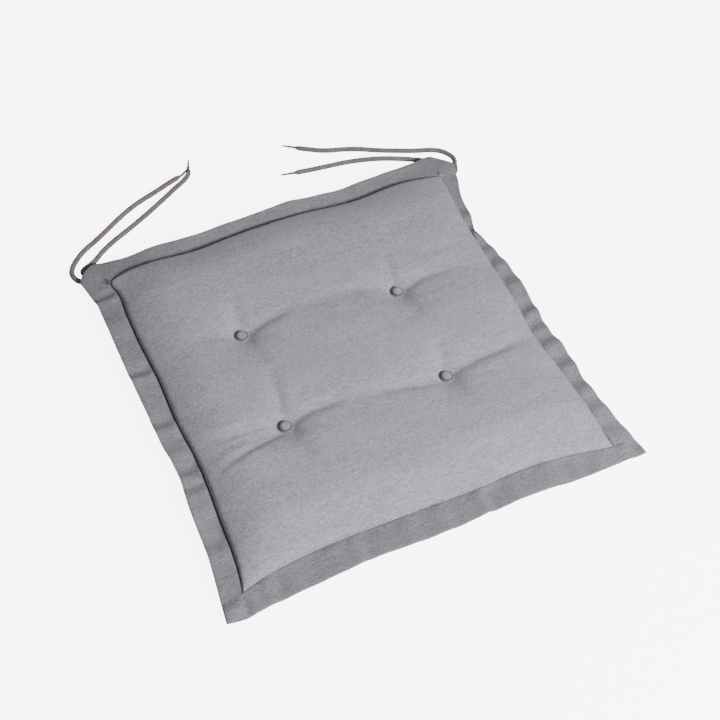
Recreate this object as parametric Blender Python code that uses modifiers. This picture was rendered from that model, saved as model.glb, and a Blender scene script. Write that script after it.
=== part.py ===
"""Chair seat pad: a tufted cushion with a flat sewn flange all round and a tie cord at each back corner.

The pad lies on the ground at Z = 0, with its front edge towards -Y, its ties at the back towards +Y and its
middle on the Z axis. Two fabric panels meet in the flange. Inside them lie a foam core and two layers of
wadding. Four tufts, each a pair of covered buttons on a loop of twine, pull the panels together.
All sizes are in metres.
"""

import math

import bmesh
import bpy
from mathutils import Matrix, Vector

# The pad
PAD_WIDTH = 0.500  # over the flange, along X
PAD_DEPTH = 0.480  # over the flange, along Y
PAD_HEIGHT = 0.042  # ground to the crown of the top panel
FLANGE_WIDTH = 0.030  # from the flange seam to the outer edge
EDGE_BOW = 0.010  # how far the middle of each side curves in
CORNER_BLUNT = 0.002  # how far in each corner of the flange is turned
SEAM_HEIGHT = 0.0165  # middle of the flange at the flange seam
EDGE_HEIGHT = 0.0105  # middle of the flange at its outer edge
TOP_ROUNDING = 0.050  # how far in from the seam the top panel goes on rising
BOTTOM_ROUNDING = 0.034  # how far in from the seam the bottom panel reaches the ground
ROUNDING_POWER = 2.5  # 2 is a parabola, more is a fuller edge

# Fabric, filling and thread
FABRIC_THICKNESS = 0.0010
PANEL_GAP = 0.0014  # between the two panels in the flange
WADDING_THICKNESS = 0.0055  # where it is not squeezed
FOAM_INSET = 0.016  # from the flange seam to the edge of the foam
WADDING_INSET = 0.008  # from the flange seam to the edge of the wadding
CLEARANCE = 0.0003  # between two pieces that touch
STITCH_RADIUS = 0.0004
SEAM_THREAD_RADIUS = 0.0003
SEAM_ALLOWANCE = 0.006  # from the outer edge in to the edge seam
STITCH_OFFSET = 0.0014  # from the foot of the rising panel out to the stitches on the flange

# Tufts
TUFT_SPACING_X = 0.195
TUFT_SPACING_Y = 0.129
TUFT_SHIFT_X = -0.017  # the four tufts as a group sit a little to the left
TUFT_SHIFT_Y = -0.003
TUFT_LEAN = 0.066  # how steeply a row of tufts runs towards the front as it goes right
TUFT_DEPTH_TOP = 0.014  # how far the twine pulls the top panel down
TUFT_DEPTH_BOTTOM = 0.0075  # how far it pulls the bottom panel up
TUFT_FLOOR = 0.0135  # radius of the flat floor of each dimple
TUFT_REACH_TOP = 0.060  # radius at which the dimple in the top panel ends
TUFT_REACH_BOTTOM = 0.032
NEEDLE_HOLE_RADIUS = 0.0028
TWINE_RADIUS = 0.0006
TWINE_LOOP_RADIUS = 0.0016  # half the distance between the twine's two runs

# Covered buttons
BUTTON_RADIUS = 0.0070
BUTTON_HEIGHT = 0.0044
BUTTON_RIM_HEIGHT = 0.0016  # height of the button's widest line
BUTTON_FABRIC = 0.0005
BUTTON_SHELL = 0.0006
BACK_PLATE_THICKNESS = 0.0009
BACK_PLATE_LIFT = 0.0004  # underside of the back plate above the button's foot
SHANK_WIRE_RADIUS = 0.0005
SHANK_HALF_WIDTH = 0.0018
EYE_PLAY = 0.0005  # above and below the twine in the shank's eye, which lets the button turn a little
TURNED_STEPS = 12

# Tie cords
CORD_RADIUS = 0.00275
CORD_LIE = 0.00290  # height of the cord's middle where it lies on the ground
CORD_STEP = 0.012  # between the points of the modelled tube
CORD_TAPER = 0.008  # length over which the braid narrows to its fused tip
TIP_RADIUS = 0.0008
TIP_GAP = 0.0003
TACK_THREAD_RADIUS = 0.0004

GREY_FABRIC = (0.36, 0.355, 0.375, 1.0)
FOAM_CREAM = (0.86, 0.80, 0.62, 1.0)
WADDING_WHITE = (0.88, 0.88, 0.86, 1.0)
THREAD_GREY = (0.20, 0.20, 0.215, 1.0)
TWINE_WHITE = (0.80, 0.78, 0.72, 1.0)
STEEL = (0.62, 0.62, 0.62, 1.0)
CORD_TAUPE = (0.20, 0.175, 0.165, 1.0)
TIP_GREY = (0.16, 0.15, 0.15, 1.0)

HALF_WIDTH = PAD_WIDTH / 2
HALF_DEPTH = PAD_DEPTH / 2
SEAM_X = HALF_WIDTH - FLANGE_WIDTH
SEAM_Y = HALF_DEPTH - FLANGE_WIDTH
SIDES = {"left": -1, "right": 1}
ROWS = {"back": 1, "front": -1}
TUFT_COLUMNS = {side: TUFT_SHIFT_X + sign * TUFT_SPACING_X / 2 for side, sign in SIDES.items()}
TUFT_ROWS = {row: TUFT_SHIFT_Y + sign * TUFT_SPACING_Y / 2 for row, sign in ROWS.items()}

# Each tie is one cord, sewn at its middle under a back corner of the flange, with two free ends. The routes
# run from the sewn middle to the end of the braid, in millimetres from the corner of the flange, where x is
# away from the pad's middle and y is towards the back. The third number lifts the cord over what it crosses.
TIE_ROUTES = {
    "left": {
        "outer": [
            (-13.0, -11.5, 2.7), (-13.0, -14.3, 2.7), (-9.6, -17.6, 2.2), (-2.6, -16.8, 1.2),
            (4.5, -13.2, 0.3), (9.5, -8.0, 0.0), (12.0, -1.5, 0.0), (11.8, 5.5, 0.0), (7.2, 14.0, 0.0),
            (0.0, 22.0, 0.0), (-8.0, 29.0, 0.0), (-17.0, 35.0, 0.0), (-27.0, 40.5, 0.0),
            (-44.0, 51.0, 0.0), (-64.0, 64.0, 0.0), (-83.0, 75.0, 0.0), (-102.0, 83.5, 0.0),
            (-119.0, 89.5, 0.0), (-137.0, 96.5, 0.0), (-152.0, 102.0, 0.0), (-163.0, 105.5, 0.0),
        ],
        "inner": [
            (-13.0, -11.5, 2.7), (-13.0, -8.7, 2.7), (-9.6, -5.8, 2.2), (-4.2, -4.8, 1.4),
            (-0.6, -1.8, 0.6), (-1.4, 2.6, 0.0), (-6.0, 5.6, 0.0), (-12.0, 8.2, 0.0), (-18.0, 11.5, 0.0),
            (-25.0, 16.8, 0.0), (-32.0, 22.5, 0.0), (-49.0, 33.0, 0.0), (-69.0, 43.0, 0.0),
            (-93.0, 55.5, 0.0), (-115.0, 68.0, 0.0), (-137.0, 81.0, 0.0), (-149.0, 88.5, 0.0),
            (-160.0, 94.5, 0.0), (-168.5, 100.5, 0.6), (-173.5, 107.0, 1.6), (-174.5, 113.0, 1.8),
        ],
    },
    "right": {
        "outer": [
            (-13.0, -14.0, 2.7), (-12.4, -16.8, 2.7), (-8.4, -19.8, 2.2), (-2.4, -17.8, 1.2),
            (2.2, -12.0, 0.3), (4.6, -5.0, 0.0), (7.8, 1.5, 0.0), (8.4, 8.0, 0.0), (5.6, 14.5, 0.0),
            (0.5, 21.5, 0.0), (-7.5, 27.5, 0.0), (-18.0, 31.8, 0.0), (-32.0, 36.0, 0.0),
            (-56.0, 45.0, 0.0), (-80.0, 55.0, 0.0), (-103.0, 66.0, 0.0), (-121.0, 72.5, 0.0),
            (-138.0, 77.0, 0.0), (-153.0, 82.5, 0.0), (-165.0, 89.0, 0.0), (-174.0, 94.0, 0.0),
            (-183.0, 100.0, 0.0),
        ],
        "inner": [
            (-13.0, -14.0, 2.7), (-13.6, -11.2, 2.7), (-15.4, -5.2, 1.6), (-17.6, 1.0, 0.5),
            (-20.8, 7.0, 0.0), (-26.0, 12.6, 0.0), (-33.0, 17.6, 0.0), (-47.0, 25.0, 0.0),
            (-62.0, 32.0, 0.0), (-81.0, 39.5, 0.0), (-98.0, 44.5, 0.0), (-114.0, 48.0, 0.0),
            (-132.0, 51.0, 0.0), (-150.0, 52.5, 0.0), (-167.0, 54.0, 0.0), (-183.0, 55.5, 0.0),
            (-202.0, 58.0, 0.0),
        ],
    },
}
# Where the thin fused tip of each cord ends, in the same terms.
TIP_ENDS = {
    "left": {"outer": (-178.0, 117.0, -1.9), "inner": (-181.0, 129.0, -1.9)},
    "right": {"outer": (-196.0, 110.0, -1.9), "inner": (-217.0, 62.0, -1.9)},
}


# ---------------------------------------------------------------- helpers


def clear_scene():
    for obj in list(bpy.data.objects):
        bpy.data.objects.remove(obj, do_unlink=True)


def collection(name):
    made = bpy.data.collections.new(name)
    bpy.context.scene.collection.children.link(made)
    return made


def material(name, colour, roughness, metallic=0.0):
    made = bpy.data.materials.new(name)
    made.use_nodes = True
    shader = made.node_tree.nodes["Principled BSDF"]
    shader.inputs["Base Color"].default_value = colour
    shader.inputs["Roughness"].default_value = roughness
    shader.inputs["Metallic"].default_value = metallic
    return made


def mesh_object(name, build, finish, group, location=(0.0, 0.0, 0.0)):
    """An object in group whose mesh is what build(bmesh) makes, with the material finish."""
    shape = bmesh.new()
    build(shape)
    mesh = bpy.data.meshes.new(name)
    shape.to_mesh(mesh)
    shape.free()
    obj = bpy.data.objects.new(name, mesh)
    obj.location = location
    if finish:
        mesh.materials.append(finish)
    group.objects.link(obj)
    return obj


def wire(name, points, radius, finish, group, sides=2, closed=False, tapers=None, location=(0.0, 0.0, 0.0)):
    """A tube along points. sides is the bevel resolution, and tapers is a share of radius for each point."""
    curve = bpy.data.curves.new(name, "CURVE")
    curve.dimensions = "3D"
    curve.bevel_depth = radius
    curve.bevel_resolution = sides
    curve.use_fill_caps = not closed
    spline = curve.splines.new("POLY")
    spline.points.add(len(points) - 1)
    for index, point in enumerate(points):
        spline.points[index].co = (*point, 1.0)
        spline.points[index].radius = tapers[index] if tapers else 1.0
    spline.use_cyclic_u = closed
    curve.materials.append(finish)
    obj = bpy.data.objects.new(name, curve)
    obj.location = location
    group.objects.link(obj)
    return obj


def turned(name, profile, finish, group, location, upside_down=False):
    """A body turned about Z. profile is (radius, height) pairs down the outside and back up the inside."""

    def build(shape):
        corners = [shape.verts.new((radius, 0.0, height)) for radius, height in profile]
        for first, second in zip(corners, corners[1:]):
            shape.edges.new((first, second))

    obj = mesh_object(name, build, finish, group, location)
    screw = obj.modifiers.new("turn", "SCREW")
    screw.steps = screw.render_steps = TURNED_STEPS
    screw.use_merge_vertices = True
    screw.merge_threshold = 0.00005
    if upside_down:
        obj.rotation_euler = (math.pi, 0.0, 0.0)
    return obj


def cut(obj, cutter):
    boolean = obj.modifiers.new("cut_" + cutter.name, "BOOLEAN")
    boolean.operation = "DIFFERENCE"
    boolean.object = cutter


def smooth_step(share):
    share = min(1.0, max(0.0, share))
    return share * share * (3.0 - 2.0 * share)


# ---------------------------------------------------------------- the shape of the pad


def place(x, y):
    """A point of the straight-sided pattern, moved where the sides bow in, the corners are blunt and rows lean."""
    blunt = max(0.0, min(abs(x) - SEAM_X, abs(y) - SEAM_Y)) / FLANGE_WIDTH * CORNER_BLUNT
    bow_x = EDGE_BOW * (x / HALF_WIDTH) ** 3 * (1.0 - min(1.0, (y / HALF_DEPTH) ** 2))
    bow_y = EDGE_BOW * (y / HALF_DEPTH) ** 3 * (1.0 - min(1.0, (x / HALF_WIDTH) ** 2))
    inside = max(0.0, 1.0 - (x / SEAM_X) ** 2) * max(0.0, 1.0 - (y / SEAM_Y) ** 2)
    lean = TUFT_LEAN * (x - TUFT_SHIFT_X) * inside
    return x - bow_x - math.copysign(blunt, x), y - bow_y - math.copysign(blunt, y) - lean


def grid_lines(tufts, seam, reach):
    """Grid lines from -reach to reach: over the rounded edges, round each tuft, and through the middle."""
    rounding = seam - TOP_ROUNDING * 0.6
    low, high = min(tufts), max(tufts)
    lines = {0.0}
    for tuft in tufts:
        for offset in (TUFT_REACH_BOTTOM, TUFT_FLOOR / math.sqrt(2)):
            lines |= {tuft - offset, tuft + offset}
    lines.add((high + TUFT_REACH_BOTTOM + rounding) / 2)
    lines.add((low - TUFT_REACH_BOTTOM - rounding) / 2)
    for line in (rounding, seam - FOAM_INSET, seam - WADDING_INSET, seam):
        lines |= {line, -line}
    return sorted({line for line in lines if abs(line) < reach - 1e-6} | {-reach, reach})


def flange_share(x, y):
    """0 inside the flange seam, rising to 1 at the outer edge."""
    return min(1.0, max(0.0, (abs(x) - SEAM_X) / FLANGE_WIDTH, (abs(y) - SEAM_Y) / FLANGE_WIDTH))


def middle_height(x, y):
    return SEAM_HEIGHT + (EDGE_HEIGHT - SEAM_HEIGHT) * flange_share(x, y)


def fullness(x, y, rounding):
    """0 at the flange seam and outside it, rising to 1 at the distance rounding inside it."""
    share_x = min(1.0, max(0.0, (SEAM_X - abs(x)) / rounding))
    share_y = min(1.0, max(0.0, (SEAM_Y - abs(y)) / rounding))
    return (1.0 - (1.0 - share_x) ** ROUNDING_POWER) * (1.0 - (1.0 - share_y) ** ROUNDING_POWER)


def dimple(x, y, depth, reach):
    off_x = min(abs(x - tuft) for tuft in TUFT_COLUMNS.values())
    off_y = min(abs(y - tuft) for tuft in TUFT_ROWS.values())
    off = math.hypot(off_x, off_y)
    return depth * (1.0 - smooth_step((off - TUFT_FLOOR) / (reach - TUFT_FLOOR)))


def top_outside(x, y):
    """Height of the top panel's outer surface."""
    foot = middle_height(x, y) + PANEL_GAP / 2 + FABRIC_THICKNESS
    rise = PAD_HEIGHT - (SEAM_HEIGHT + PANEL_GAP / 2 + FABRIC_THICKNESS)
    full = fullness(x, y, TOP_ROUNDING)
    return foot + rise * full - dimple(x, y, TUFT_DEPTH_TOP, TUFT_REACH_TOP) * full


def top_inside(x, y):
    return top_outside(x, y) - FABRIC_THICKNESS


def bottom_outside(x, y):
    """Height of the bottom panel's outer surface, which is flat on the ground inside its rounded edge."""
    foot = middle_height(x, y) - PANEL_GAP / 2 - FABRIC_THICKNESS
    full = fullness(x, y, BOTTOM_ROUNDING)
    return foot * (1.0 - full) + dimple(x, y, TUFT_DEPTH_BOTTOM, TUFT_REACH_BOTTOM) * full


def bottom_inside(x, y):
    return bottom_outside(x, y) + FABRIC_THICKNESS


def squeezed_wadding(x, y):
    """Thickness of the wadding, which thins with the space between the panels."""
    full_space = PAD_HEIGHT - 2 * FABRIC_THICKNESS
    return WADDING_THICKNESS * (top_inside(x, y) - bottom_inside(x, y)) / full_space


def foam_top(x, y):
    return top_inside(x, y) - squeezed_wadding(x, y) - 2 * CLEARANCE


def foam_bottom(x, y):
    return bottom_inside(x, y) + squeezed_wadding(x, y) + 2 * CLEARANCE


def layer(name, inset, lower, upper, finish, group):
    """One layer of the pad, inset from the flange seam, between two surfaces given as height functions."""
    lines_x = grid_lines(TUFT_COLUMNS.values(), SEAM_X, SEAM_X - inset)
    lines_y = grid_lines(TUFT_ROWS.values(), SEAM_Y, SEAM_Y - inset)
    last_x, last_y = len(lines_x) - 1, len(lines_y) - 1

    def build(shape):
        bmesh.ops.create_grid(shape, x_segments=last_x, y_segments=last_y, size=1.0)
        pattern = {}
        for vert in shape.verts:
            column = round((vert.co.x + 1.0) / 2.0 * last_x)
            row = round((vert.co.y + 1.0) / 2.0 * last_y)
            pattern[vert] = (lines_x[column], lines_y[row])
            vert.co = (lines_x[column], lines_y[row], 0.0)
        split_outwards(shape)
        bottom = set(shape.verts)
        grown = bmesh.ops.extrude_face_region(shape, geom=list(shape.faces))["geom"]
        for vert in (item for item in grown if isinstance(item, bmesh.types.BMVert)):
            vert.co = (*place(vert.co.x, vert.co.y), upper(vert.co.x, vert.co.y))
        for vert in bottom:
            vert.co = (*place(*pattern[vert]), lower(*pattern[vert]))
        bmesh.ops.recalc_face_normals(shape, faces=shape.faces)

    return mesh_object(name, build, finish, group)


def split_outwards(shape):
    """Splits each face of a flat grid along the diagonal that leads away from the middle."""
    for face in list(shape.faces):
        inner = min(face.verts, key=lambda vert: vert.co.length)
        outer = max(face.verts, key=lambda vert: vert.co.length)
        bmesh.utils.face_split(face, inner, outer)


def outline(reach_x, reach_y):
    """The pattern points round the pad, anticlockwise from the front left corner, at the grid lines."""
    lines_x = [-reach_x, *grid_lines(TUFT_COLUMNS.values(), SEAM_X, SEAM_X)[1:-1], reach_x]
    lines_y = [-reach_y, *grid_lines(TUFT_ROWS.values(), SEAM_Y, SEAM_Y)[1:-1], reach_y]
    front = [(x, -reach_y) for x in lines_x[:-1]]
    right = [(reach_x, y) for y in lines_y[:-1]]
    back = [(x, reach_y) for x in reversed(lines_x[1:])]
    left = [(-reach_x, y) for y in reversed(lines_y[1:])]
    return front + right + back + left


def thread_loop(name, offset, height, radius, finish, group):
    """A line of stitching round the pad, offset outwards from the flange seam, at height(x, y)."""
    points = []
    for x, y in outline(SEAM_X + offset, SEAM_Y + offset):
        points.append((*place(x, y), height(x, y)))
    return wire(name, points, radius, finish, group, sides=0, closed=True)


# ---------------------------------------------------------------- pieces


def make_panels_and_filling(finishes, group, cutters):
    fabric = finishes["fabric"]
    layers = [
        layer("cover_top_panel", -FLANGE_WIDTH, top_inside, top_outside, fabric, group),
        layer("cover_bottom_panel", -FLANGE_WIDTH, bottom_outside, bottom_inside, fabric, group),
        layer(
            "wadding_top", WADDING_INSET,
            lambda x, y: foam_top(x, y) + CLEARANCE,
            lambda x, y: top_inside(x, y) - CLEARANCE,
            finishes["wadding"], group,
        ),
        layer(
            "wadding_bottom", WADDING_INSET,
            lambda x, y: bottom_inside(x, y) + CLEARANCE,
            lambda x, y: foam_bottom(x, y) - CLEARANCE,
            finishes["wadding"], group,
        ),
        layer("foam_core", FOAM_INSET, foam_bottom, foam_top, finishes["foam"], group),
    ]
    for tuft, (x, y) in tuft_places().items():
        needle = needle_hole(tuft, x, y, cutters)
        for piece in layers:
            cut(piece, needle)


def tuft_places():
    """Each tuft's name and place on the ground plane."""
    return {
        f"{row}_{side}": place(TUFT_COLUMNS[side], TUFT_ROWS[row]) for row in ROWS for side in SIDES
    }


def needle_hole(tuft, x, y, cutters):
    def build(shape):
        bmesh.ops.create_cone(
            shape, cap_ends=True, segments=TURNED_STEPS, radius1=NEEDLE_HOLE_RADIUS,
            radius2=NEEDLE_HOLE_RADIUS, depth=2 * PAD_HEIGHT,
        )

    hole = mesh_object(f"needle_hole_{tuft}", build, None, cutters, (x, y, 0.0))
    hole.hide_render = True
    hole.display_type = "WIRE"
    return hole


def make_stitching(finishes, group):
    thread = finishes["thread"]
    lift = CLEARANCE + STITCH_RADIUS

    def on_top(x, y):
        return top_outside(x, y) + lift

    def underneath(x, y):
        return bottom_outside(x, y) - lift

    thread_loop("flange_stitching_top", STITCH_OFFSET, on_top, STITCH_RADIUS, thread, group)
    thread_loop("flange_stitching_under", STITCH_OFFSET, underneath, STITCH_RADIUS, thread, group)
    edge = FLANGE_WIDTH - SEAM_ALLOWANCE
    thread_loop("edge_seam_thread", edge, middle_height, SEAM_THREAD_RADIUS, thread, group)
    for side, sign in SIDES.items():
        make_corner_tack(side, sign, thread, group)


def make_corner_tack(side, sign, thread, group):
    """The zigzag of stitches that locks the flange stitching at a back corner, where a tie is sewn on."""
    passes, length, width, start = 5, 0.0070, 0.0030, 0.0040
    points = []
    for index in range(passes + 1):
        along = start + length * index / passes
        across = width / 2 * (-1) ** index
        x = sign * (SEAM_X + along + across)
        y = SEAM_Y + along - across
        points.append((*place(x, y), top_outside(x, y) + CLEARANCE + 2 * STITCH_RADIUS))
    wire(f"corner_tack_{side}", points, STITCH_RADIUS, thread, group, sides=0)


def make_button(name, foot, up, x, y, finishes, group):
    """A covered button: fabric, the shell under it, and a back plate with a wire shank. up is 1 or -1."""
    flip = up < 0
    rim, top = BUTTON_RIM_HEIGHT, BUTTON_HEIGHT

    def dome(inward, steps=2):
        """Radius and height down the outside of a dome that lies inward of the button's own."""
        radius, height = BUTTON_RADIUS - inward, top - rim - inward
        angles = [math.pi / 2 * (1 - index / steps) for index in range(steps + 1)]
        return [(radius * math.cos(angle), rim + height * math.sin(angle)) for angle in angles]

    def cup(outer, inner, low):
        """A domed cup between two depths, open below at the height low."""
        outside = dome(outer) + [(BUTTON_RADIUS - outer - 0.0003, low)]
        inside = [(BUTTON_RADIUS - inner - 0.0003, low)] + dome(inner)[::-1]
        points = outside + inside
        points[0] = (0.0, points[0][1])
        points[-1] = (0.0, points[-1][1])
        return points

    gap = 0.0002
    shell_outer = BUTTON_FABRIC + gap
    shell_inner = shell_outer + BUTTON_SHELL
    place_at = (x, y, foot)
    turned(f"button_fabric_{name}", cup(0.0, BUTTON_FABRIC, 0.0), finishes["fabric"], group, place_at, flip)
    turned(
        f"button_shell_{name}", cup(shell_outer, shell_inner, BACK_PLATE_LIFT), finishes["steel"], group,
        place_at, flip,
    )
    make_button_back(name, place_at, flip, BUTTON_RADIUS - shell_inner - 0.0003 - CLEARANCE, finishes, group)


def make_button_back(name, place_at, flip, radius, finishes, group):
    """A round plate with a wire eye on its underside, which the twine runs through."""
    low, high = BACK_PLATE_LIFT, BACK_PLATE_LIFT + BACK_PLATE_THICKNESS

    def build_plate(shape):
        bmesh.ops.create_cone(
            shape, cap_ends=True, segments=TURNED_STEPS, radius1=radius, radius2=radius, depth=high - low,
            matrix=Matrix.Translation((0.0, 0.0, (low + high) / 2)),
        )

    plate = mesh_object(f"button_back_{name}", build_plate, finishes["steel"], group, place_at)
    eye_low = shank_low()
    points = [(0.0, -SHANK_HALF_WIDTH, (low + high) / 2)]
    bend_centre = eye_low + SHANK_HALF_WIDTH + SHANK_WIRE_RADIUS
    for index in range(5):
        angle = math.pi + math.pi * index / 4
        points.append(
            (0.0, SHANK_HALF_WIDTH * math.cos(angle), bend_centre + SHANK_HALF_WIDTH * math.sin(angle))
        )
    points.append((0.0, SHANK_HALF_WIDTH, (low + high) / 2))
    eye_curve = wire(f"eye_{name}", points, SHANK_WIRE_RADIUS, finishes["steel"], group, sides=1)
    eye = solid_of_curve(eye_curve)
    join = plate.modifiers.new("join_eye", "BOOLEAN")
    join.operation = "UNION"
    join.object = eye
    eye.location = place_at
    eye.hide_render = True
    eye.display_type = "WIRE"
    if flip:
        plate.rotation_euler = eye.rotation_euler = (math.pi, 0.0, 0.0)


def shank_low():
    """Lowest point of the shank's eye, measured from the button's foot."""
    inside_eye = 2 * TWINE_RADIUS + 2 * EYE_PLAY
    return BACK_PLATE_LIFT - inside_eye - 2 * SHANK_WIRE_RADIUS


def solid_of_curve(curve_object):
    """The same tube as a mesh with welded caps, which a Boolean can take."""
    graph = bpy.context.evaluated_depsgraph_get()
    bpy.context.view_layer.update()
    mesh = bpy.data.meshes.new_from_object(curve_object.evaluated_get(graph))
    shape = bmesh.new()
    shape.from_mesh(mesh)
    bmesh.ops.remove_doubles(shape, verts=shape.verts, dist=0.00001)
    bmesh.ops.recalc_face_normals(shape, faces=shape.faces)
    shape.to_mesh(mesh)
    shape.free()
    name, groups = curve_object.name, curve_object.users_collection
    solid = bpy.data.objects.new(name + "_solid", mesh)
    groups[0].objects.link(solid)
    solid.matrix_world = curve_object.matrix_world
    bpy.data.objects.remove(curve_object)
    return solid


def make_twine(name, x, y, top_foot, bottom_foot, finishes, group):
    """A closed loop of twine through the eyes of a top and a bottom button."""
    above_eye = shank_low() + 2 * SHANK_WIRE_RADIUS + EYE_PLAY + TWINE_RADIUS
    high = top_foot + above_eye - TWINE_LOOP_RADIUS
    low = bottom_foot - above_eye + TWINE_LOOP_RADIUS
    points = []
    for centre, first in ((high, 0.0), (low, math.pi)):
        for index in range(5):
            angle = first + math.pi * index / 4
            points.append((TWINE_LOOP_RADIUS * math.cos(angle), 0.0, centre + TWINE_LOOP_RADIUS * math.sin(angle)))
    wire(f"tuft_twine_{name}", points, TWINE_RADIUS, finishes["twine"], group, sides=1, closed=True,
         location=(x, y, 0.0))


def make_tufts(finishes, group):
    tuft = TUFT_COLUMNS["left"], TUFT_ROWS["back"]
    top_foot = top_outside(*tuft) + CLEARANCE
    bottom_foot = bottom_outside(*tuft) - CLEARANCE
    for tuft, (x, y) in tuft_places().items():
        make_button(f"top_{tuft}", top_foot, 1, x, y, finishes, group)
        make_button(f"under_{tuft}", bottom_foot, -1, x, y, finishes, group)
        make_twine(tuft, x, y, top_foot, bottom_foot, finishes, group)


# ---------------------------------------------------------------- ties


def corner_point(side, point):
    """A route point, in millimetres from the flange's back corner, as a place in the pad's frame."""
    x, y, lift = (value / 1000.0 for value in point)
    return Vector((SIDES[side] * (HALF_WIDTH + x), HALF_DEPTH + y, CORD_LIE + lift))


def smooth_route(points, step):
    """A Catmull-Rom curve through the points, read about every step."""
    ends = [points[0] * 2 - points[1], *points, points[-1] * 2 - points[-2]]
    fine = []
    for before, first, second, after in zip(ends, ends[1:], ends[2:], ends[3:]):
        count = max(1, round((second - first).length / step))
        for index in range(count):
            t = index / count
            fine.append(
                0.5 * (
                    2 * first
                    + (second - before) * t
                    + (2 * before - 5 * first + 4 * second - after) * t * t
                    + (3 * first - before - 3 * second + after) * t ** 3
                )
            )
    return fine + [points[-1]]


def make_tie_end(side, which, finishes, group, middle):
    """One free half of a tie cord, and the fused tip on its end. middle is the tie's sewn middle."""
    route = [corner_point(side, point) for point in TIE_ROUTES[side][which]]
    points = smooth_route(route, CORD_STEP / 2)
    points[0] = points[0] + (points[1] - points[0]).normalized() * CLEARANCE / 2
    length = 0.0
    left = [0.0]
    for first, second in zip(points[::-1], points[-2::-1]):
        length += (first - second).length
        left.append(length)
    tip_share = TIP_RADIUS / CORD_RADIUS
    tapers = [min(1.0, tip_share + (1.0 - tip_share) * distance / CORD_TAPER) for distance in reversed(left)]
    wire(
        f"tie_cord_{side}_{which}", [point - middle for point in points], CORD_RADIUS, finishes["cord"], group,
        tapers=tapers, location=middle,
    )
    end = corner_point(side, TIP_ENDS[side][which])
    heading = (end - points[-1]).normalized()
    start = points[-1] + heading * (TIP_GAP + TIP_RADIUS)
    tip = [start, start.lerp(end, 0.5), end]
    wire(
        f"tie_tip_{side}_{which}", [point - middle for point in tip], TIP_RADIUS, finishes["tip"], group,
        location=middle,
    )


def make_tie_tack(side, middle, finishes, group):
    """A loop of thread round the cord's sewn middle, drawn up to the underside of the flange."""
    inner = corner_point(side, TIE_ROUTES[side]["inner"][1])
    outer = corner_point(side, TIE_ROUTES[side]["outer"][1])
    along = (inner - outer).normalized()
    across = Vector((-along.y, along.x, 0.0))
    radius = CORD_RADIUS + CLEARANCE + TACK_THREAD_RADIUS
    lowest_flange = bottom_outside(abs(middle.x) + radius, middle.y + radius)
    rise = lowest_flange - CLEARANCE - TACK_THREAD_RADIUS - middle.z
    points = []
    for index in range(17):
        angle = 2 * math.pi * index / 16
        height = math.sin(angle)
        points.append(across * radius * math.cos(angle) + Vector((0.0, 0.0, height * (rise if height > 0 else radius))))
    wire(f"tie_tack_{side}", points[:-1], TACK_THREAD_RADIUS, finishes["thread"], group, sides=0, closed=True,
         location=middle)


def make_ties(finishes, group):
    for side in SIDES:
        middle = corner_point(side, TIE_ROUTES[side]["outer"][0])
        for which in TIE_ROUTES[side]:
            make_tie_end(side, which, finishes, group, middle)
        make_tie_tack(side, middle, finishes, group)


# ---------------------------------------------------------------- the whole pad


def main():
    clear_scene()
    group = collection("chair_seat_pad")
    cutters = collection("cutters")
    finishes = {
        "fabric": material("grey_fabric", GREY_FABRIC, 0.9),
        "foam": material("cream_foam", FOAM_CREAM, 0.95),
        "wadding": material("white_wadding", WADDING_WHITE, 1.0),
        "thread": material("grey_thread", THREAD_GREY, 0.8),
        "twine": material("white_twine", TWINE_WHITE, 0.85),
        "steel": material("pressed_steel", STEEL, 0.4, 1.0),
        "cord": material("taupe_cord", CORD_TAUPE, 0.85),
        "tip": material("fused_tip", TIP_GREY, 0.4),
    }
    make_panels_and_filling(finishes, group, cutters)
    make_stitching(finishes, group)
    make_tufts(finishes, group)
    make_ties(finishes, group)


main()
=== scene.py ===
"""The looks of the chair seat pad: a tufted grey cushion with a stitched flange and braided tie cords.

The pad lies on the ground at Z = 0 with its ties at the back, towards +Y. Lengths are in metres.
"""

import math

import bmesh
import bpy
import numpy as np
from mathutils import Matrix, Vector


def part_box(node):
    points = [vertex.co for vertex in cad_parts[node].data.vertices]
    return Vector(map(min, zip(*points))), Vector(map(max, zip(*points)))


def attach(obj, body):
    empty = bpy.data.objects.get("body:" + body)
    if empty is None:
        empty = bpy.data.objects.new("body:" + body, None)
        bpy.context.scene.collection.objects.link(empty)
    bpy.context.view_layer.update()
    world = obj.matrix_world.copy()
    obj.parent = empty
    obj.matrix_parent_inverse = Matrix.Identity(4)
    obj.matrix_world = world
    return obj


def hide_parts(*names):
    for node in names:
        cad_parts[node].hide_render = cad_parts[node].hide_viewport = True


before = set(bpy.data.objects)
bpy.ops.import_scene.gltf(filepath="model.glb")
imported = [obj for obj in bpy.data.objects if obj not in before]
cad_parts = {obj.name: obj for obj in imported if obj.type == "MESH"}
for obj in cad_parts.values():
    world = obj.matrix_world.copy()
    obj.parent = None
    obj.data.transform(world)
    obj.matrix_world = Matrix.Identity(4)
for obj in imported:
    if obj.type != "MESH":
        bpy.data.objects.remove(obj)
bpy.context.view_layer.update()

# The view: where the camera stands, how far it leans and what it looks at
VIEW_AZIMUTH = math.radians(-31.16)
VIEW_ELEVATION = math.radians(56.36)
VIEW_ROLL = math.radians(7.57)
VIEW_DISTANCE = 1.315
VIEW_TARGET = Vector((0.0082, 0.0022, 0.0))
VIEW_LENS_MM = 56.25

# Light and floor
WORLD_STRENGTH = 0.24
KEY_AZIMUTH, KEY_ELEVATION = -65.0, 41.0  # degrees, from +X towards +Y and up
KEY_DISTANCE, KEY_SIZE, KEY_WATTS = 2.2, 0.60, 72.0
FLOOR_SIZE, FLOOR_HEIGHT, FLOOR_GLOW = 4.0, -0.0006, 6.5

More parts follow.
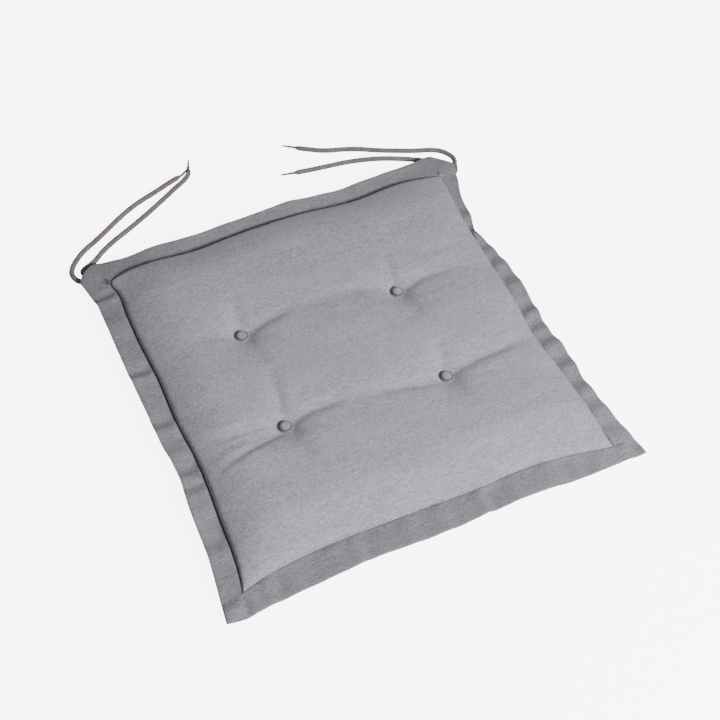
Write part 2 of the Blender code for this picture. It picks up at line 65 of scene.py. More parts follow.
# The pad's main sizes. Its pattern is straight-sided: p and q are its X and Y before its sides are bent
# to the outline below.
CORD_RADIUS = 0.00275
CORD_LIE = 0.0029  # from the ground to the middle of a lying cord
CORNER_X, CORNER_Y = 0.250, 0.240
SEAM_X, SEAM_Y = 0.220, 0.210
FLANGE = 0.030
MM = 1000.0  # millimetres in a metre

# The pad's section
SEAM_HEIGHT = 0.0165
EDGE_HEIGHT = 0.0105
CROWN = 0.0415
EDGE_LIFT = {"left": 0.0085, "right": 0.0100, "back": 0.0105, "front": 0.0085}  # between the corners
LAYER = 0.0012  # from the middle of the flange to either face
WALL_SHARE = {"left": 0.19, "right": 0.40, "back": 0.34, "front": 0.20}  # of the rise, in the steep wall
WALL_REACH = 0.0014
SHOULDER = 0.058  # from the seam to where the crown is reached
SHOULDER_POWER = 1.9  # the higher, the rounder
UNDER_ROUNDING = 0.034
UNDER_POWER = 2.4
HEM_HEIGHT, HEM_PLACE, HEM_WIDTH = 0.00035, 0.0045, 0.0030  # the ridge over the turned edge
CORNER_CURL = 0.0060  # of the front right corner
CURL_START_X, CURL_START_Y, CURL_REACH = 0.200, 0.190, 0.050
SEAM_DIP = {"left": 0.0014, "right": 0.0010, "back": 0.0014, "front": 0.0005}
SEAM_DIP_WIDTH = 0.0013
DIMPLE_DEPTH = 0.0205
DIMPLE_REACH = 0.0165
DIMPLE_FLOOR = 0.0078  # radius of the flat place that a button sits on
UNDER_DIMPLE_DEPTH = 0.0075
UNDER_DIMPLE_REACH = 0.032
BUTTON_SEAT = 0.0075  # radius within which the cloth is held by a button
VALLEY_BEHIND, VALLEY_AHEAD = 0.024, 0.030  # how far each bank of a valley reaches
VALLEY_BOTTOM = 0.004
PLEAT_CLEARING = 0.0065  # pleats die out over about twice this distance from a button
CREASE_INSIDE, CREASE_OUTSIDE = 0.0007, 0.00095  # the reach of the painted seam shade to each side of the seam

# The cloth simulation of the top panel
CLOTH_HOLD = 0.22  # how firmly the filling holds the cloth in its shape
CLOTH_SLACK = 0.035
CLOTH_BENDING = 0.6
CLOTH_PRESSURE = 0.12
CLOTH_FRAMES = 24
CLOTH_CAP = 0.004  # the furthest that a point may move
SEAM_HOLD = 0.0035  # the cloth this close to its seam doesn't move

# Mesh
GRID_STEP = 0.0032
WALL_LINES = (0.0006, 0.0013, 0.0024, 0.0042, 0.0068)  # inside the seam
FLANGE_LINES = (0.0009, 0.0020, 0.0042, 0.0084, 0.0126, 0.0168, 0.0210, 0.0246, 0.0273, 0.0289, 0.0297)

# Stitching
STITCH_PITCH = 0.0034
STITCH_LENGTH = 0.0026
STITCH_RADIUS = 0.00030
STITCH_OFFSET = 0.0013
LOCK_RADIUS = 0.00048

# Cord
BRAID_YARNS = 6  # each way round
BRAID_PITCH = 0.0220
BRAID_RELIEF = 0.00052
BRAID_CROSSING = 0.00026
CORD_FULLNESS = 0.00035  # by which the loose braid stands past the cord's firm radius
BRAID_GAP = -0.50  # the yarns' gaps below this share of the relief are painted darker, as shade
CORD_SIDES = 36
CORD_STEP = 0.00042
CORD_TAPER = 0.008
TIP_RADIUS = 0.0010

# Button
BUTTON_FACE = 0.0050  # radius of the flat face inside the gathered rim
BUTTON_RIM_FOOT = 0.0020  # the painted shade on the gathered rim starts this far above the button's foot
BUTTON_GATHERS, BUTTON_GATHER_SHARE = 17, 0.006
BUTTON_PROFILE = [  # radius and height in millimetres
    (0.0, 4.40), (1.6, 4.38), (3.2, 4.26), (4.4, 4.08), (5.0, 3.92), (5.35, 3.72), (5.6, 3.58),
    (5.85, 3.66), (6.2, 3.72), (6.6, 3.50), (6.9, 3.02), (7.0, 2.40), (7.0, 1.60), (6.9, 0.70),
    (6.75, 0.05), (6.45, 0.05), (6.5, 1.55), (6.45, 2.2), (5.9, 2.9), (4.6, 3.62), (2.4, 3.92),
    (0.0, 3.98),
]

# Colours, linear
PADDED_GREY = (0.352, 0.332, 0.372)
# The flange's grey is darker than the padded grey: partly the doubled cloth's own darker look, partly
# painted shade
FLANGE_GREY_WITH_SHADE = (0.232, 0.219, 0.247)
BUTTON_GREY = (0.320, 0.306, 0.340)
# Painted shade for the crevice of each button's gathered rim
RIM_SHADE_GREY = (0.120, 0.117, 0.127)
THREAD_GREY = (0.120, 0.118, 0.128)
PALE_THREAD = (0.500, 0.495, 0.520)
# Painted shade for the fold at the seam on the left and back sides
PAINTED_CREASE_SHADE_GREY = (0.055, 0.053, 0.057)
CORD_TAUPE = (0.196, 0.165, 0.156)
# Painted shade for the gaps between the braid's yarns
CORD_GAP_SHADE_TAUPE = (0.040, 0.034, 0.032)
TWINE_CREAM = (0.62, 0.59, 0.52)
STEEL_GREYS = (0.50, 0.50, 0.50), (0.66, 0.66, 0.66)
FUSED_BROWNS = (0.070, 0.064, 0.062), (0.150, 0.138, 0.132)

# The outline seen from above, in millimetres: where each side's flange seam and outer edge lie. The
# sides are given from front to back or from left to right.
LEFT_SEAM = [(-218, -226), (-190, -221), (-120, -217), (-60, -215), (0, -219), (60, -219), (110, -222),
             (150, -223), (192, -223), (204, -226)]
RIGHT_SEAM = [(-219, 216), (-176, 215), (-100, 210), (-50, 206), (0, 210), (60, 210), (130, 211),
              (212, 220)]
FRONT_SEAM = [(-226, -218), (-190, -209.5), (-150, -205), (-40, -204), (60, -206), (113, -204.5),
              (166, -209), (216, -218.5)]
BACK_SEAM = [(-226, 200.5), (-219, 205), (-203, 209.5), (-170, 211), (-115, 208), (-68, 212.5),
             (21, 215.5), (92, 210.5), (158, 216), (218, 212)]
LEFT_EDGE = [(-241, -251), (-232, -250.5), (-209, -248.5), (-158.5, -243.5), (-100.5, -242.5),
             (-56, -239.5), (-22, -243.5), (28, -245.5), (98.5, -248.5), (154.5, -249.5), (194.5, -251),
             (216, -255.5), (229, -258), (240, -248)]
RIGHT_EDGE = [(-240, 248.5), (-230, 248.5), (-206.5, 246), (-164.5, 237.5), (-120.5, 232), (-81.5, 233),
              (-51.5, 228.5), (-9.5, 230.5), (28.5, 231.5), (66.5, 227.5), (94.5, 222.5), (111.5, 217),
              (122.5, 220.5), (147, 226.5), (166, 228.5), (183.5, 234), (201, 241.5), (219, 246.5),
              (230, 250), (240, 241)]
FRONT_EDGE = [(-251, -239.5), (-240, -241), (-225, -242), (-200, -240.5), (-162, -239), (-113, -237.5),
              (-82, -236), (-43, -238), (7, -239), (72, -237), (113, -237), (148.5, -239),
              (185, -239.5), (221, -239), (240, -240), (249, -240)]
BACK_EDGE = [(-252, 234), (-238, 241), (-213, 238.5), (-186, 234), (-162.5, 235.5), (-93, 233.5),
             (-60, 236), (-13, 239), (23, 241), (55, 238), (87, 236.5), (123, 239.5), (167.5, 244.5),
             (198, 249), (228, 253.5), (242, 245), (252, 238)]

# The valley through each row of buttons, in millimetres: where it runs, and how deep it is there.
BACK_VALLEY = [(-222, 66), (-166, 69), (-144, 72), (-113.6, 65.5), (-86, 71), (-52, 76), (-14, 75),
               (30, 72), (52, 68), (80, 56.5), (100, 60), (139, 60), (218, 58)]
BACK_VALLEY_DEPTH = [(-222, 0.6), (-160, 2.2), (-113.6, 5.5), (-52, 4.6), (20, 4.0), (80, 6.0),
                     (140, 5.4), (190, 3.8), (218, 1.0)]
FRONT_VALLEY = [(-222, -56), (-178, -57), (-143, -60), (-113.6, -63), (-90, -59), (-58, -57),
                (-25, -62), (20, -68), (58, -75), (80, -72.3), (123, -67), (156, -65), (218, -58)]
FRONT_VALLEY_DEPTH = [(-222, 1.4), (-160, 3.8), (-113.6, 5.5), (-40, 5.4), (20, 4.6), (80, 6.0),
                      (140, 5.2), (190, 3.6), (218, 1.0)]
# Sharper pleats, in millimetres: the line each follows, its depth and the reach of its two slopes. The
# first slope lies behind the line, or to the left of a line that runs backwards and to the right of one
# that runs forwards.
PLEATS = [
    ([(-119, -69), (-133, -73), (-163, -79), (-203, -88)], 4.0, 7, 3.2),
    ([(-121, -60), (-143, -57), (-178, -55), (-210, -53)], 2.4, 8, 3.6),
    ([(-123, -65), (-150, -67), (-173, -67), (-198, -65)], 2.6, 6, 3.4),
    ([(-105, -61), (-80, -57), (-40, -59)], 3.0, 8, 4.0),
    ([(-105, 67), (-86, 71), (-50, 76)], 3.0, 8, 4.2),
    ([(-122, 68), (-146, 73), (-175, 69)], 1.4, 12, 6.0),
    ([(90, 57), (116, 62), (150, 61)], 2.6, 9, 4.6),
    ([(71, 60), (51, 70), (20, 74)], 1.4, 10, 6.0),
    ([(90, -70), (123, -66), (160, -65), (198, -60)], 3.0, 9, 4.4),
    ([(71, -75), (48, -75), (20, -69), (-15, -64)], 2.4, 8, 4.0),
    ([(120, 86), (165, 92), (205, 90)], 1.2, 9, 5.0),
    ([(-113, -52), (-107, -22), (-104, 12)], 3.2, 9, 6.0),
    ([(-113, 76), (-110, 96), (-107, 122)], 2.8, 9, 6.0),
    ([(-112, 55), (-108, 38), (-103, 14)], 2.0, 7, 11.0),
    ([(-112, -74), (-107, -92), (-102, -114)], 1.8, 7, 11.0),
    ([(80, 66), (84, 88), (88, 112)], 2.4, 9, 6.0),
    ([(81, 47), (84, 32), (88, 8)], 2.6, 6, 10.0),
    ([(81, -62), (86, -48), (90, -26)], 3.0, 8, 5.0),
    ([(82, -83), (86, -100), (90, -122)], 1.8, 7, 11.0),
    ([(90, -62), (140, -48), (196, -40)], 1.0, 9, 6.0),
    ([(-100, 58), (-70, 46), (-30, 42)], 0.9, 12, 7.0),
]
RIPPLE_START, RIPPLE_FADE = 0.85, 0.25  # the ripples' share just outside the seam, and what they lose
# Ripples across the flange, in millimetres: place along the side, height and width. The flange falls
# towards the back, or towards the right, through a ripple of positive height.
RIPPLES = {
    "right": [(-20, 4.2, 8), (-46, 4.0, 8), (-68, 4.4, 9), (-103, 4.5, 10), (-137, 5.0, 11),
              (-166, 3.7, 10), (-198, 2.0, 9), (28, 3.3, 10), (60, 4.1, 10), (83, 3.7, 8),
              (113, 4.4, 9), (144, 2.4, 8)],
    "left": [(184, 3.4, 5), (66, 3.7, 6), (-6, 3.4, 7), (-53, -3.4, 7), (-72, 2.5, 6), (-92, 3.0, 7),
             (-125, -2.1, 10), (-160, 2.6, 9), (128, -1.5, 12), (-222, 1.8, 5)],
    "front": [(-195, 2.6, 7), (-140, -1.4, 12), (-94, 2.2, 7), (-33, 1.6, 8), (5, 1.8, 8), (52, 3.6, 6),
              (78, -2.0, 8), (139, 2.4, 11), (183, -1.6, 9), (232, 3.0, 7), (-224, -2.0, 6)],
    "back": [(-195, -1.0, 12), (-150, 0.9, 14), (-60, 1.0, 14), (26, 1.4, 12), (100, -1.2, 14),
             (165, 1.0, 12)],
}

# The cords' routes: millimetres from the flange's corner, outwards and backwards, and the lift above
# where the cord lies on the ground.
TIE_ROUTES = {
    "left": {
        "outer": [
            (-13.0, -11.5, 2.7), (-13.0, -14.3, 2.7), (-9.6, -17.6, 2.2), (-2.6, -16.8, 1.2),
            (4.5, -13.2, 0.3), (9.5, -8.0, 0.0), (12.0, -1.5, 0.0), (11.8, 5.5, 0.0), (7.2, 14.0, 0.0),
            (0.0, 22.0, 0.0), (-8.0, 29.0, 0.0), (-17.0, 35.0, 0.0), (-27.0, 40.5, 0.0),
            (-44.0, 51.0, 0.0), (-64.0, 64.0, 0.0), (-83.0, 75.0, 0.0), (-102.0, 83.5, 0.0),
            (-119.0, 89.5, 0.0), (-137.0, 96.5, 0.0), (-152.0, 102.0, 0.0), (-163.0, 105.5, 0.0),
        ],
        "inner": [
            (-13.0, -11.5, 2.7), (-13.0, -8.7, 2.7), (-9.6, -5.8, 2.2), (-4.2, -4.8, 1.4),
            (-0.6, -1.8, 0.6), (-1.4, 2.6, 0.0), (-6.0, 5.6, 0.0), (-12.0, 8.2, 0.0), (-18.0, 11.5, 0.0),
            (-25.0, 16.8, 0.0), (-32.0, 22.5, 0.0), (-49.0, 33.0, 0.0), (-69.0, 43.0, 0.0),
            (-93.0, 55.5, 0.0), (-115.0, 68.0, 0.0), (-137.0, 81.0, 0.0), (-149.0, 88.5, 0.0),
            (-160.0, 94.5, 0.0), (-168.5, 100.5, 0.6), (-173.5, 107.0, 1.6), (-174.5, 113.0, 1.8),
        ],
    },
    "right": {
        "outer": [
            (-13.0, -14.0, 2.7), (-12.4, -16.8, 2.7), (-8.4, -19.8, 2.2), (-2.4, -17.8, 1.2),
            (2.2, -12.0, 0.3), (4.6, -5.0, 0.0), (7.8, 1.5, 0.0), (8.4, 8.0, 0.0), (5.6, 14.5, 0.0),
            (0.5, 21.5, 0.0), (-7.5, 27.5, 0.0), (-18.0, 31.8, 0.0), (-32.0, 36.0, 0.0),
            (-56.0, 45.0, 0.0), (-80.0, 55.0, 0.0), (-103.0, 66.0, 0.0), (-121.0, 72.5, 0.0),
            (-138.0, 77.0, 0.0), (-153.0, 82.5, 0.0), (-165.0, 89.0, 0.0), (-174.0, 94.0, 0.0),
            (-183.0, 100.0, 0.0),
        ],
        "inner": [
            (-13.0, -14.0, 2.7), (-13.6, -11.2, 2.7), (-15.4, -5.2, 1.6), (-17.6, 1.0, 0.5),
            (-20.8, 7.0, 0.0), (-26.0, 12.6, 0.0), (-33.0, 17.6, 0.0), (-47.0, 25.0, 0.0),
            (-62.0, 32.0, 0.0), (-81.0, 39.5, 0.0), (-98.0, 44.5, 0.0), (-114.0, 48.0, 0.0),
            (-132.0, 51.0, 0.0), (-150.0, 52.5, 0.0), (-167.0, 54.0, 0.0), (-183.0, 55.5, 0.0),
            (-202.0, 58.0, 0.0),
        ],
    },
}
TIP_ENDS = {
    "left": {"outer": (-178.0, 117.0, -1.9), "inner": (-181.0, 129.0, -1.9)},
    "right": {"outer": (-196.0, 110.0, -1.9), "inner": (-217.0, 62.0, -1.9)},
}
SIDE_SIGN = {"left": -1, "right": 1}
TUFTS = [f"{row}_{side}" for row in ("back", "front") for side in ("left", "right")]


# ---------------------------------------------------------------- camera, light and floor


def add_camera():
    data = bpy.data.cameras.new("camera")
    data.lens = VIEW_LENS_MM
    data.sensor_width = 36.0
    camera = bpy.data.objects.new("camera", data)
    bpy.context.scene.collection.objects.link(camera)
    back = Vector((
        math.sin(VIEW_AZIMUTH) * math.cos(VIEW_ELEVATION),
        -math.cos(VIEW_AZIMUTH) * math.cos(VIEW_ELEVATION),
        math.sin(VIEW_ELEVATION),
    ))
    level = Vector((math.cos(VIEW_AZIMUTH), math.sin(VIEW_AZIMUTH), 0.0))
    upward = back.cross(level)
    right = level * math.cos(VIEW_ROLL) + upward * math.sin(VIEW_ROLL)
    up = upward * math.cos(VIEW_ROLL) - level * math.sin(VIEW_ROLL)
    turn = Matrix((right, up, back)).transposed().to_4x4()
    camera.matrix_world = Matrix.Translation(VIEW_TARGET + back * VIEW_DISTANCE) @ turn
    bpy.context.scene.camera = camera


def add_area_light(name, azimuth, elevation, distance, size, watts):
    data = bpy.data.lights.new(name, "AREA")
    data.shape = "DISK"
    data.size = size
    data.energy = watts
    light = bpy.data.objects.new(name, data)
    azimuth, elevation = math.radians(azimuth), math.radians(elevation)
    towards = Vector((
        math.cos(azimuth) * math.cos(elevation),
        math.sin(azimuth) * math.cos(elevation),
        math.sin(elevation),
    ))
    light.location = towards * distance
    light.rotation_euler = towards.to_track_quat("Z", "Y").to_euler()
    bpy.context.scene.collection.objects.link(light)


def add_stage():
    world = bpy.data.worlds.new("studio")
    bpy.context.scene.world = world
    world.use_nodes = True
    background = world.node_tree.nodes["Background"]
    background.inputs["Color"].default_value = (1.0, 1.0, 1.0, 1.0)
    background.inputs["Strength"].default_value = WORLD_STRENGTH
    add_area_light("key", KEY_AZIMUTH, KEY_ELEVATION, KEY_DISTANCE, KEY_SIZE, KEY_WATTS)

    mesh = bpy.data.meshes.new("floor")
    shape = bmesh.new()
    bmesh.ops.create_grid(shape, x_segments=1, y_segments=1, size=FLOOR_SIZE)
    shape.to_mesh(mesh)
    shape.free()
    floor = bpy.data.objects.new("floor", mesh)
    floor.location.z = FLOOR_HEIGHT
    bpy.context.scene.collection.objects.link(floor)
    finish = bpy.data.materials.new("white_floor")
    finish.use_nodes = True
    shader = finish.node_tree.nodes["Principled BSDF"]
    shader.inputs["Base Color"].default_value = (0.9, 0.9, 0.9, 1.0)
    shader.inputs["Roughness"].default_value = 0.9
    shader.inputs["Emission Color"].default_value = (1.0, 1.0, 1.0, 1.0)
    shader.inputs["Emission Strength"].default_value = FLOOR_GLOW
    mesh.materials.append(finish)
    floor.visible_diffuse = floor.visible_glossy = False  # its glow doesn't light the pad


# ---------------------------------------------------------------- materials


class Nodes:
    """A short way to write a material's nodes."""

    def __init__(self, name, roughness, metallic=0.0):
        self.material = bpy.data.materials.new(name)
        self.material.use_nodes = True
        self.tree = self.material.node_tree
        self.shader = self.tree.nodes["Principled BSDF"]
        self.shader.inputs["Roughness"].default_value = roughness
        self.shader.inputs["Metallic"].default_value = metallic
        self.place = self.tree.nodes.new("ShaderNodeTexCoord").outputs["Object"]

    def stretched(self, scale, turn=0.0):
        mapping = self.tree.nodes.new("ShaderNodeMapping")
        mapping.inputs["Scale"].default_value = scale
        mapping.inputs["Rotation"].default_value = (0.0, 0.0, turn)
        self.tree.links.new(self.place, mapping.inputs["Vector"])
        return mapping.outputs["Vector"]

    def noise(self, vector, detail=2.0, roughness=0.5, scale=1.0):
        node = self.tree.nodes.new("ShaderNodeTexNoise")
        node.inputs["Scale"].default_value = scale
        node.inputs["Detail"].default_value = detail
        node.inputs["Roughness"].default_value = roughness
        self.tree.links.new(vector, node.inputs["Vector"])
        return node.outputs["Fac"]

    def threads(self, pitch, along):
        """Rounded threads that run along X or along Y."""
        node = self.tree.nodes.new("ShaderNodeTexWave")
        node.wave_type = "BANDS"
        node.bands_direction = "Y" if along == "X" else "X"
        node.wave_profile = "SIN"
        node.inputs["Scale"].default_value = math.tau / 20.0 / pitch
        node.inputs["Distortion"].default_value = 0.6
        node.inputs["Detail Scale"].default_value = 2.0
        self.tree.links.new(self.place, node.inputs["Vector"])
        return node.outputs["Fac"]

    def maths(self, operation, first, second):
        node = self.tree.nodes.new("ShaderNodeMath")
        node.operation = operation
        for socket, value in zip(node.inputs, (first, second)):
            if isinstance(value, (int, float)):
                socket.default_value = value
            else:
                self.tree.links.new(value, socket)
        return node.outputs[0]

    def ramp(self, factor, stops):
        node = self.tree.nodes.new("ShaderNodeValToRGB")
        ramp = node.color_ramp
        while len(ramp.elements) < len(stops):
            ramp.elements.new(0.5)
        for element, (place, colour) in zip(ramp.elements, stops):
            element.position = place
            element.color = (*colour, 1.0)
        self.tree.links.new(factor, node.inputs["Fac"])
        return node.outputs["Color"]

    def colour(self, socket):
        self.tree.links.new(socket, self.shader.inputs["Base Color"])

    def bump(self, height, strength, distance):
        node = self.tree.nodes.new("ShaderNodeBump")
        node.inputs["Strength"].default_value = strength
        node.inputs["Distance"].default_value = distance
        self.tree.links.new(height, node.inputs["Height"])
        self.tree.links.new(node.outputs["Normal"], self.shader.inputs["Normal"])


def shades(colour, *shares):
    return [tuple(channel * share for channel in colour) for share in shares]


def woven(name, colour):
    """Melange canvas: uneven light and dark yarns along X, crossed by finer ones along Y."""
    nodes = Nodes(name, 0.92)
    nodes.shader.inputs["Sheen Weight"].default_value = 0.25
    nodes.shader.inputs["Sheen Roughness"].default_value = 0.45
    nodes.shader.inputs["Specular IOR Level"].default_value = 0.25
    long_yarns = nodes.noise(nodes.stretched((75.0, 1000.0, 200.0)), 3.0, 0.65)
    short_yarns = nodes.noise(nodes.stretched((340.0, 800.0, 300.0)), 2.0, 0.6)
    warp = nodes.noise(nodes.stretched((1700.0, 300.0, 300.0)), 2.0, 0.5)
    broad = nodes.noise(nodes.stretched((14.0, 60.0, 14.0)), 2.0, 0.5)
    mix = nodes.maths("MULTIPLY", long_yarns, 0.32)
    mix = nodes.maths("ADD", mix, nodes.maths("MULTIPLY", short_yarns, 0.42))
    mix = nodes.maths("ADD", mix, nodes.maths("MULTIPLY", warp, 0.16))
    mix = nodes.maths("ADD", mix, nodes.maths("MULTIPLY", broad, 0.10))
    dark, mid, light = shades(colour, 0.60, 1.0, 1.44)
    nodes.colour(nodes.ramp(mix, [(0.37, dark), (0.50, mid), (0.63, light)]))
    weave = nodes.maths("MAXIMUM", nodes.threads(0.00075, "X"), nodes.threads(0.00085, "Y"))
    height = nodes.maths(
        "ADD", nodes.maths("MULTIPLY", weave, 0.5), nodes.maths("MULTIPLY", short_yarns, 0.9),
    )
    nodes.bump(height, 0.35, 0.00035)
    return nodes.material


def yarn(name, colour, roughness=0.85, spread=0.35, scale=900.0):
    """Matt fibres, lighter and darker by spread."""
    nodes = Nodes(name, roughness)
    nodes.shader.inputs["Sheen Weight"].default_value = 0.2
    fibres = nodes.noise(nodes.stretched((scale, scale, scale)), 3.0, 0.6)
    patches = nodes.noise(nodes.stretched((120.0, 120.0, 120.0)), 2.0, 0.5)
    mix = nodes.maths("ADD", nodes.maths("MULTIPLY", fibres, 0.7), nodes.maths("MULTIPLY", patches, 0.3))
    dark, mid, light = shades(colour, 1.0 - spread, 1.0, 1.0 + spread)
    nodes.colour(nodes.ramp(mix, [(0.35, dark), (0.50, mid), (0.65, light)]))
    nodes.bump(fibres, 0.4, 0.0002)
    return nodes.material


def steel(name):
    nodes = Nodes(name, 0.38, 1.0)
    grain = nodes.noise(nodes.stretched((300.0, 300.0, 300.0)), 3.0, 0.6)
    nodes.colour(nodes.ramp(grain, list(zip((0.35, 0.65), STEEL_GREYS))))
    nodes.bump(grain, 0.1, 0.0001)
    return nodes.material


def fused_plastic(name):
    nodes = Nodes(name, 0.45)
    streaks = nodes.noise(nodes.stretched((500.0, 500.0, 500.0)), 3.0, 0.6)
    nodes.colour(nodes.ramp(streaks, list(zip((0.35, 0.65), FUSED_BROWNS))))
    nodes.bump(streaks, 0.5, 0.0003)
    return nodes.material


# ---------------------------------------------------------------- the pad's shape


def through(points):
    """A smooth function through (place, value) points given in millimetres, for places in metres."""
    places, values = np.array(points, dtype=float).T / MM
    slopes = np.gradient(values, places)

    def read(place):
        place = np.clip(place, places[0], places[-1])
        index = np.clip(np.searchsorted(places, place) - 1, 0, len(places) - 2)
        span = places[index + 1] - places[index]
        t = (place - places[index]) / span
        return (
            (2 * t**3 - 3 * t**2 + 1) * values[index] + (t**3 - 2 * t**2 + t) * span * slopes[index]
            + (3 * t**2 - 2 * t**3) * values[index + 1] + (t**3 - t**2) * span * slopes[index + 1]
        )

    return read


SEAM = {"left": through(LEFT_SEAM), "right": through(RIGHT_SEAM), "front": through(FRONT_SEAM),
        "back": through(BACK_SEAM)}
EDGE = {"left": through(LEFT_EDGE), "right": through(RIGHT_EDGE), "front": through(FRONT_EDGE),
        "back": through(BACK_EDGE)}
VALLEYS = [
    (through(BACK_VALLEY), through(BACK_VALLEY_DEPTH)),
    (through(FRONT_VALLEY), through(FRONT_VALLEY_DEPTH)),
]


def across(value, along, seam, low, high):
    """Where a pattern line lies: between the two seams, or between seam and edge in the flange."""
    share = (value / seam + 1.0) / 2.0
    inside = SEAM[low](along) * (1.0 - share) + SEAM[high](along) * share
    out = np.clip((np.abs(value) - seam) / FLANGE, 0.0, 1.0)
    to_low = SEAM[low](along) * (1.0 - out) + EDGE[low](along) * out
    to_high = SEAM[high](along) * (1.0 - out) + EDGE[high](along) * out
    return np.where(np.abs(value) <= seam, inside, np.where(value < 0, to_low, to_high))


def placed(p, q):
    """The place on the ground plane of a point of the straight-sided pattern."""
    return across(p, q, SEAM_X, "left", "right"), across(q, p, SEAM_Y, "front", "back")


def wall(depth, share):
    """0 at the seam, rising to 1 over the rounded shoulder; share of it rises in a steep wall."""
    depth = np.maximum(depth, 0.0)
    steep = 1.0 - np.exp(-depth / WALL_REACH)
    shoulder = 1.0 - (1.0 - np.minimum(depth / SHOULDER, 1.0)) ** SHOULDER_POWER
    return share * steep + (1.0 - share) * shoulder


def fullness(p, q):
    """0 in the flange, and up to 1 where the filling has its full height."""
    half_x, half_y = SEAM_X - np.abs(p), SEAM_Y - np.abs(q)
    share_x = np.where(p < 0, WALL_SHARE["left"], WALL_SHARE["right"])
    share_y = np.where(q < 0, WALL_SHARE["front"], WALL_SHARE["back"])
    return wall(half_x, share_x) * wall(half_y, share_y)


def to_line(x, y, line):
    """Signed distance from a polyline, positive behind it, and how far along it from 0 to 1."""
    best = np.full(x.shape, 9.0)
    signed = np.zeros(x.shape)
    along = np.zeros(x.shape)
    count = len(line) - 1
    for index in range(count):
        (ax, ay), (bx, by) = line[index], line[index + 1]
        dx, dy = bx - ax, by - ay
        t = np.clip(((x - ax) * dx + (y - ay) * dy) / (dx * dx + dy * dy), 0.0, 1.0)
        off_x, off_y = x - ax - t * dx, y - ay - t * dy
        distance = np.hypot(off_x, off_y)
        side = np.sign(off_y * abs(dx) - off_x * dy * np.sign(dx) if abs(dx) > 1e-9 else off_x)
        nearer = distance < best
        best = np.where(nearer, distance, best)
        signed = np.where(nearer, distance * side, signed)
        along = np.where(nearer, (index + t) / count, along)
    return signed, along


def valleys(x, y):
    """How far the rows of buttons draw the top down between them."""
    total = np.zeros(x.shape)
    for middle, depth in VALLEYS:
        off = y - middle(x)
        reach = np.where(off > 0, VALLEY_BEHIND, VALLEY_AHEAD)
        total += depth(x) * np.exp((VALLEY_BOTTOM - np.sqrt(off**2 + VALLEY_BOTTOM**2)) / reach)
    return total


def pleats(x, y):
    """How deep the pleats are, each fading towards its ends."""
    total = np.zeros(x.shape)
    for line, depth, behind, ahead in PLEATS:
        off, along = to_line(x, y, [(a / MM, b / MM) for a, b in line])
        reach = np.where(off > 0, behind, ahead) / MM
        fade = np.sin(np.pi * np.clip(0.12 + 0.88 * along, 0.0, 1.0)) ** 0.6
        total += depth / MM * fade * np.exp(-((off / reach) ** 2))
    return total


def tuft_centres():
    """Each tuft's name and its place on the ground plane, under its top button."""
    for tuft in TUFTS:
        low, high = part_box(f"button_fabric_top_{tuft}")
        yield tuft, (low[0] + high[0]) / 2.0, (low[1] + high[1]) / 2.0


TUFT_PLACES = {tuft: (x, y) for tuft, x, y in tuft_centres()}


def near_tufts(x, y, shape):
    """The largest of shape(distance) over the four tufts."""
    total = np.zeros(x.shape)
    for tuft_x, tuft_y in TUFT_PLACES.values():
        total = np.maximum(total, shape(np.hypot(x - tuft_x, y - tuft_y)))
    return total


def ripples(p, q, x, y):
    """How far the flange waves up and down, most just outside its seam."""
    total = np.zeros(x.shape)
    for side, along, out in (
        ("right", y, (p - SEAM_X) / FLANGE), ("left", y, (-p - SEAM_X) / FLANGE),
        ("front", x, (-q - SEAM_Y) / FLANGE), ("back", x, (q - SEAM_Y) / FLANGE),
    ):
        out = np.clip(out, 0.0, 1.0)
        grow = RIPPLE_START * np.minimum(out * 5.0, 1.0) - RIPPLE_FADE * out
        for place, height, width in RIPPLES[side]:
            off = (along - place / MM) / (width / MM)
            total += height / MM * grow * -off * np.exp(0.5 - 0.5 * off**2)
    return total


def flange_out(p, q):
    """0 at the flange's seam and inside it, 1 at its outer edge."""
    return np.clip(np.maximum((np.abs(p) - SEAM_X), (np.abs(q) - SEAM_Y)) / FLANGE, 0.0, 1.0)


def middle_height(p, q, x, y):
    """The height midway between the two panels in the flange."""
    out = flange_out(p, q)
    lift = np.zeros(x.shape)
    for side, along, past in (
        ("left", q / SEAM_Y, -p - SEAM_X), ("right", q / SEAM_Y, p - SEAM_X),
        ("front", p / SEAM_X, -q - SEAM_Y), ("back", p / SEAM_X, q - SEAM_Y),
    ):
        share = np.clip(past / FLANGE, 0.0, 1.0)
        lift += EDGE_LIFT[side] * share * (1.0 - np.clip(np.abs(along), 0.0, 1.0) ** 4)
    curl_x = np.clip((p - CURL_START_X) / CURL_REACH, 0.0, 1.0)
    lift += CORNER_CURL * curl_x * np.clip((-q - CURL_START_Y) / CURL_REACH, 0.0, 1.0)
    return SEAM_HEIGHT + (EDGE_HEIGHT - SEAM_HEIGHT) * out + lift + ripples(p, q, x, y)


def edge_thickness(p, q):
    """Half the flange's thickness, which closes round at the outer edge."""
    inward = np.minimum(CORNER_X - np.abs(p), CORNER_Y - np.abs(q))
    share = np.clip(inward / LAYER, 0.0, 1.0)
    hem = HEM_HEIGHT * np.exp(-(((inward - HEM_PLACE) / HEM_WIDTH) ** 2))
    return LAYER * np.sqrt(share * (2.0 - share)) + hem


def seam_dip(p, q):
    """How far the stitching draws the cloth in along the flange's seam."""
    off = np.where(
        (np.abs(p) < SEAM_X) & (np.abs(q) < SEAM_Y),
        np.minimum(SEAM_X - np.abs(p), SEAM_Y - np.abs(q)),
        np.maximum(np.abs(p) - SEAM_X, np.abs(q) - SEAM_Y),
    )
    side_x = np.where(p < 0, SEAM_DIP["left"], SEAM_DIP["right"])
    side_y = np.where(q < 0, SEAM_DIP["front"], SEAM_DIP["back"])
    depth = np.where(np.abs(p) - SEAM_X > np.abs(q) - SEAM_Y, side_x, side_y)
    return depth * np.exp(-((off / SEAM_DIP_WIDTH) ** 2))


